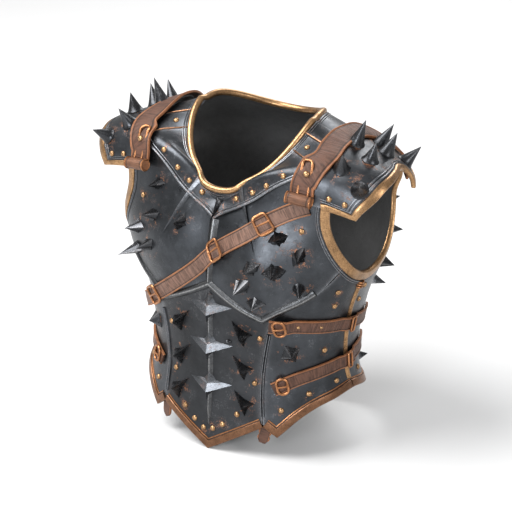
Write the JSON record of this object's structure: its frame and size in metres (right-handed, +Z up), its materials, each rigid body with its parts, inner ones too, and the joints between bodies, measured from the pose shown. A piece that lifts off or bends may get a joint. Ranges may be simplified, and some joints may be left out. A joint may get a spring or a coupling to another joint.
{
  "type": "steel breastplate",
  "caption": "Blackened steel breastplate and backplate with pauldrons, cone and star spikes, brass rolled edges and leather straps with copper buckles, standing on its hem.",
  "frame": {"origin": "middle of the whole object's box, on the surface it stands on", "axes": "+Z up, -Y the front, +X the wearer's left"},
  "size_m": [0.4658, 0.3256, 0.4777],
  "materials": {
    "black_steel": "blackened satin steel, lighter on worn edges, with small rust scratches",
    "bright_steel": "worn bright steel ridges",
    "brass": "antique pitted brass with bright worn edges",
    "copper": "copper bronze, satin",
    "leather": "brown leather with raised lighter edges and stitch lines"
  },
  "bodies": {
    "root": {"chest_plate": "black_steel", "belly_plate": "black_steel", "flank_plate_left": "black_steel", "flank_plate_right": "black_steel", "back_plate": "black_steel", "collar_band": "black_steel", "shoulder_lame_front_left": "black_steel", "shoulder_lame_front_right": "black_steel", "shoulder_lame_rear_left": "black_steel", "shoulder_lame_rear_right": "black_steel", "pauldron_left": "black_steel", "pauldron_right": "black_steel", "chest_border": "bright_steel", "chest_keel": "bright_steel", "belly_keel": "bright_steel", "panel_piping_left": "bright_steel", "panel_piping_right": "bright_steel", "neck_trim": "brass", "armhole_trim_left": "brass", "armhole_trim_right": "brass", "hem_trim_belly": "brass", "hem_trim_flank_left": "brass", "hem_trim_flank_right": "brass", "hem_trim_back": "brass", "side_seam_left": "brass", "side_seam_right": "brass", "pauldron_trim_left": "brass", "pauldron_trim_right": "brass", "strap_loop_left": "copper", "strap_loop_right": "copper", "chest_buckle_1": "copper", "chest_buckle_2": "copper", "chest_buckle_3": "copper", "side_buckle_upper_left": "copper", "side_keeper_upper_left": "copper", "side_buckle_lower_left": "copper", "side_buckle_lower_right": "copper", "side_keeper_lower_left": "copper", "side_keeper_lower_right": "copper", "shoulder_strap_left": "leather", "shoulder_strap_right": "leather", "chest_strap": "leather", "side_strap_upper_left": "leather", "side_strap_lower_left": "leather", "side_strap_lower_right": "leather", "torn_tab_left": "leather", "torn_tab_right": "leather"}
  },
  "joints": []
}
